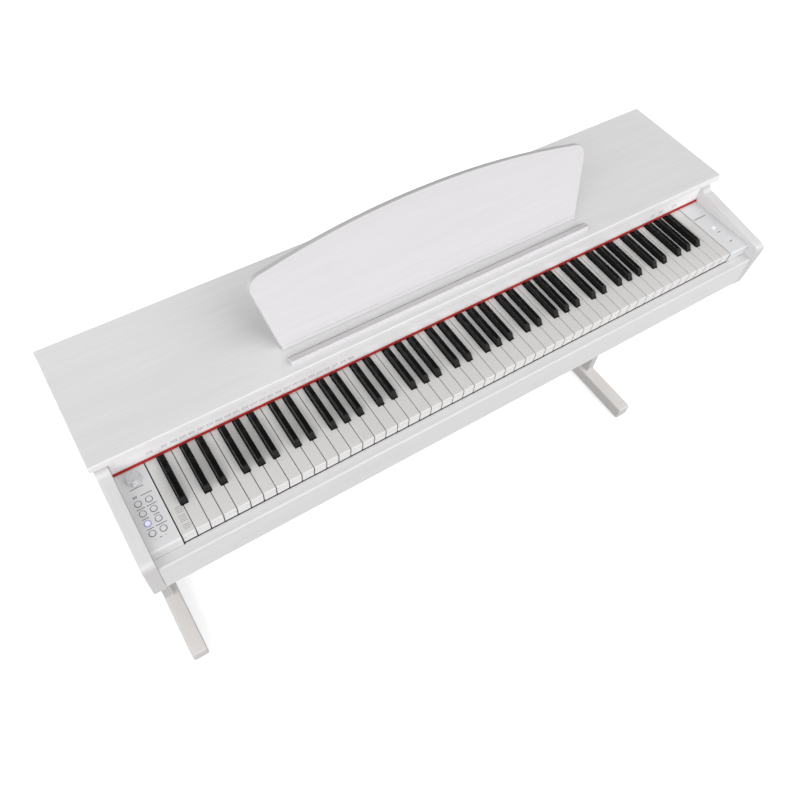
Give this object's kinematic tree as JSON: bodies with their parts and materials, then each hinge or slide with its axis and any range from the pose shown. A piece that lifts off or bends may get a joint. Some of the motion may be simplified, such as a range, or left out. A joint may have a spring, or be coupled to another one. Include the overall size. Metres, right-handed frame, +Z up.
{
  "type": "digital piano on stand",
  "caption": "Full-size digital piano: white case with a keyboard, side control panels and an arched music desk, on a two-leg stand with long feet and a pedal box.",
  "frame": {"origin": "on the floor under the middle of the bounding box", "axes": "+X towards the treble end, +Y away from the player, +Z up"},
  "size_m": [1.383, 0.4256, 0.9868],
  "materials": {
    "white_board": "satin white film with a faint wood grain on board",
    "foot_board": "satin warm white film on board",
    "panel_plastic": "satin moulded white plastic",
    "lit_button": "translucent white plastic lit pale violet from inside",
    "clear_knob": "clear glossy plastic over a silver core",
    "felt": "red wool felt",
    "white_key": "smooth satin-gloss white key plastic",
    "black_key": "matt black key plastic with polished edges",
    "dark_plastic": "matt black moulded plastic",
    "circuit_board": "green solder mask",
    "steel": "zinc plated",
    "pedal_metal": "polished plating",
    "foot_rubber": "matt black"
  },
  "bodies": {
    "root": {"case_back_panel": "white_board", "connector_box": "dark_plastic", "control_panel_left": "panel_plastic", "control_panel_right": "panel_plastic", "desk_hinge_base_left": "steel", "desk_hinge_base_right": "steel", "felt_strip": "felt", "foot_left": "foot_board", "foot_right": "foot_board", "front_rail": "white_board", "headphone_box": "dark_plastic", "key_bed": "white_board", "key_frame": "dark_plastic", "leg_left": "white_board", "leg_right": "white_board", "main_circuit_board": "circuit_board", "music_ledge": "white_board", "name_board": "white_board", "pedal_box": "white_board", "pedal_shaft": "steel", "side_panel_left": "white_board", "side_panel_right": "white_board", "speaker_left": "dark_plastic", "speaker_right": "dark_plastic", "stand_back_board": "white_board", "top_lid": "white_board"},
    "key_c4": {"key_c4": "white_key"},
    "key_c_sharp4": {"key_c_sharp4": "black_key"},
    "key_d4": {"key_d4": "white_key"},
    "key_d_sharp4": {"key_d_sharp4": "black_key"},
    "key_e4": {"key_e4": "white_key"},
    "key_f4": {"key_f4": "white_key"},
    "key_f_sharp4": {"key_f_sharp4": "black_key"},
    "key_g4": {"key_g4": "white_key"},
    "key_g_sharp4": {"key_g_sharp4": "black_key"},
    "key_a4": {"key_a4": "white_key"},
    "key_a_sharp4": {"key_a_sharp4": "black_key"},
    "key_b4": {"key_b4": "white_key"},
    "white_keys_bass": {"white_keys_bass": "white_key"},
    "black_keys_bass": {"black_keys_bass": "black_key"},
    "white_keys_treble": {"white_keys_treble": "white_key"},
    "black_keys_treble": {"black_keys_treble": "black_key"},
    "panel_button_1": {"panel_button_1": "panel_plastic"},
    "panel_button_2": {"panel_button_2": "panel_plastic"},
    "panel_button_3": {"panel_button_3": "lit_button"},
    "panel_button_4": {"panel_button_4": "panel_plastic"},
    "panel_button_5": {"panel_button_5": "panel_plastic"},
    "panel_button_6": {"panel_button_6": "panel_plastic"},
    "panel_button_7": {"panel_button_7": "panel_plastic"},
    "panel_button_8": {"panel_button_8": "panel_plastic"},
    "power_button": {"power_button": "lit_button"},
    "lock_button": {"lock_button": "panel_plastic"},
    "volume_knob": {"volume_knob": "clear_knob"},
    "pedal_soft": {"pedal_soft": "pedal_metal"},
    "pedal_sostenuto": {"pedal_sostenuto": "pedal_metal"},
    "pedal_damper": {"pedal_damper": "pedal_metal"},
    "music_desk": {"music_desk": "white_board", "desk_hinge_leaf_left": "steel", "desk_hinge_leaf_right": "steel"},
    "pedal_box_adjuster": {"pedal_box_adjuster": "foot_rubber"}
  },
  "joints": [
    {"name": "key_c4_press", "type": "hinge", "parent": "root", "child": "key_c4", "pos_m": [-0.05875, 0.0444, 0.741], "axis": [1, 0, 0], "range_deg": [0, 2.4], "stiffness_Nm_per_rad": 0.3, "springref_deg": -57.3},
    {"name": "key_c_sharp4_press", "type": "hinge", "parent": "root", "child": "key_c_sharp4", "pos_m": [-0.0496, 0.0444, 0.741], "axis": [1, 0, 0], "range_deg": [0, 3], "stiffness_Nm_per_rad": 0.15, "springref_deg": -57.3},
    {"name": "key_d4_press", "type": "hinge", "parent": "root", "child": "key_d4", "pos_m": [-0.03525, 0.0444, 0.741], "axis": [1, 0, 0], "range_deg": [0, 2.4], "stiffness_Nm_per_rad": 0.3, "springref_deg": -57.3},
    {"name": "key_d_sharp4_press", "type": "hinge", "parent": "root", "child": "key_d_sharp4", "pos_m": [-0.0216, 0.0444, 0.741], "axis": [1, 0, 0], "range_deg": [0, 3], "stiffness_Nm_per_rad": 0.15, "springref_deg": -57.3},
    {"name": "key_e4_press", "type": "hinge", "parent": "root", "child": "key_e4", "pos_m": [-0.01175, 0.0444, 0.741], "axis": [1, 0, 0], "range_deg": [0, 2.4], "stiffness_Nm_per_rad": 0.3, "springref_deg": -57.3},
    {"name": "key_f4_press", "type": "hinge", "parent": "root", "child": "key_f4", "pos_m": [0.01175, 0.0444, 0.741], "axis": [1, 0, 0], "range_deg": [0, 2.4], "stiffness_Nm_per_rad": 0.3, "springref_deg": -57.3},
    {"name": "key_f_sharp4_press", "type": "hinge", "parent": "root", "child": "key_f_sharp4", "pos_m": [0.0197, 0.0444, 0.741], "axis": [1, 0, 0], "range_deg": [0, 3], "stiffness_Nm_per_rad": 0.15, "springref_deg": -57.3},
    {"name": "key_g4_press", "type": "hinge", "parent": "root", "child": "key_g4", "pos_m": [0.03525, 0.0444, 0.741], "axis": [1, 0, 0], "range_deg": [0, 2.4], "stiffness_Nm_per_rad": 0.3, "springref_deg": -57.3},
    {"name": "key_g_sharp4_press", "type": "hinge", "parent": "root", "child": "key_g_sharp4", "pos_m": [0.0468, 0.0444, 0.741], "axis": [1, 0, 0], "range_deg": [0, 3], "stiffness_Nm_per_rad": 0.15, "springref_deg": -57.3},
    {"name": "key_a4_press", "type": "hinge", "parent": "root", "child": "key_a4", "pos_m": [0.05875, 0.0444, 0.741], "axis": [1, 0, 0], "range_deg": [0, 2.4], "stiffness_Nm_per_rad": 0.3, "springref_deg": -57.3},
    {"name": "key_a_sharp4_press", "type": "hinge", "parent": "root", "child": "key_a_sharp4", "pos_m": [0.0739, 0.0444, 0.741], "axis": [1, 0, 0], "range_deg": [0, 3], "stiffness_Nm_per_rad": 0.15, "springref_deg": -57.3},
    {"name": "key_b4_press", "type": "hinge", "parent": "root", "child": "key_b4", "pos_m": [0.08225, 0.0444, 0.741], "axis": [1, 0, 0], "range_deg": [0, 2.4], "stiffness_Nm_per_rad": 0.3, "springref_deg": -57.3},
    {"name": "white_keys_bass_press", "type": "hinge", "parent": "root", "child": "white_keys_bass", "pos_m": [-0.34075, 0.0444, 0.741], "axis": [1, 0, 0], "range_deg": [0, 2.4], "stiffness_Nm_per_rad": 6.9, "springref_deg": -57.3},
    {"name": "black_keys_bass_press", "type": "hinge", "parent": "root", "child": "black_keys_bass", "pos_m": [-0.33197, 0.0444, 0.741], "axis": [1, 0, 0], "range_deg": [0, 3], "stiffness_Nm_per_rad": 2.4, "springref_deg": -57.3},
    {"name": "white_keys_treble_press", "type": "hinge", "parent": "root", "child": "white_keys_treble", "pos_m": [0.3525, 0.0444, 0.741], "axis": [1, 0, 0], "range_deg": [0, 2.4], "stiffness_Nm_per_rad": 6.6, "springref_deg": -57.3},
    {"name": "black_keys_treble_press", "type": "hinge", "parent": "root", "child": "black_keys_treble", "pos_m": [0.34284, 0.0444, 0.741], "axis": [1, 0, 0], "range_deg": [0, 3], "stiffness_Nm_per_rad": 2.25, "springref_deg": -57.3},
    {"name": "panel_button_1_push", "type": "slide", "parent": "root", "child": "panel_button_1", "axis": [0, 0, -1], "range_m": [0, 0.001], "stiffness_N_per_m": 900, "springref_m": -0.0015},
    {"name": "panel_button_2_push", "type": "slide", "parent": "root", "child": "panel_button_2", "axis": [0, 0, -1], "range_m": [0, 0.001], "stiffness_N_per_m": 900, "springref_m": -0.0015},
    {"name": "panel_button_3_push", "type": "slide", "parent": "root", "child": "panel_button_3", "axis": [0, 0, -1], "range_m": [0, 0.001], "stiffness_N_per_m": 900, "springref_m": -0.0015},
    {"name": "panel_button_4_push", "type": "slide", "parent": "root", "child": "panel_button_4", "axis": [0, 0, -1], "range_m": [0, 0.001], "stiffness_N_per_m": 900, "springref_m": -0.0015},
    {"name": "panel_button_5_push", "type": "slide", "parent": "root", "child": "panel_button_5", "axis": [0, 0, -1], "range_m": [0, 0.001], "stiffness_N_per_m": 900, "springref_m": -0.0015},
    {"name": "panel_button_6_push", "type": "slide", "parent": "root", "child": "panel_button_6", "axis": [0, 0, -1], "range_m": [0, 0.001], "stiffness_N_per_m": 900, "springref_m": -0.0015},
    {"name": "panel_button_7_push", "type": "slide", "parent": "root", "child": "panel_button_7", "axis": [0, 0, -1], "range_m": [0, 0.001], "stiffness_N_per_m": 900, "springref_m": -0.0015},
    {"name": "panel_button_8_push", "type": "slide", "parent": "root", "child": "panel_button_8", "axis": [0, 0, -1], "range_m": [0, 0.001], "stiffness_N_per_m": 900, "springref_m": -0.0015},
    {"name": "power_button_push", "type": "slide", "parent": "root", "child": "power_button", "axis": [0, 0, -1], "range_m": [0, 0.001], "stiffness_N_per_m": 900, "springref_m": -0.0015},
    {"name": "lock_button_push", "type": "slide", "parent": "root", "child": "lock_button", "axis": [0, 0, -1], "range_m": [0, 0.001], "stiffness_N_per_m": 900, "springref_m": -0.0015},
    {"name": "volume_knob_turn", "type": "hinge", "parent": "root", "child": "volume_knob", "pos_m": [-0.6366, -0.059, 0.75], "axis": [0, 0, 1], "range_deg": [-150, 150]},
    {"name": "pedal_soft_press", "type": "hinge", "parent": "root", "child": "pedal_soft", "pos_m": [-0.072, 0.167, 0.068], "axis": [1, 0, 0], "range_deg": [0, 5], "stiffness_Nm_per_rad": 3, "springref_deg": -22.92},
    {"name": "pedal_sostenuto_press", "type": "hinge", "parent": "root", "child": "pedal_sostenuto", "pos_m": [0, 0.167, 0.068], "axis": [1, 0, 0], "range_deg": [0, 5], "stiffness_Nm_per_rad": 3, "springref_deg": -22.92},
    {"name": "pedal_damper_press", "type": "hinge", "parent": "root", "child": "pedal_damper", "pos_m": [0.072, 0.167, 0.068], "axis": [1, 0, 0], "range_deg": [0, 5], "stiffness_Nm_per_rad": 3, "springref_deg": -22.92},
    {"name": "music_desk_fold", "type": "hinge", "parent": "root", "child": "music_desk", "pos_m": [0, 0.02639, 0.82475], "axis": [-1, 0, 0], "range_deg": [0, 66]},
    {"name": "pedal_box_adjuster_lift", "type": "slide", "parent": "root", "child": "pedal_box_adjuster", "axis": [0, 0, 1], "range_m": [0, 0.004]}
  ]
}
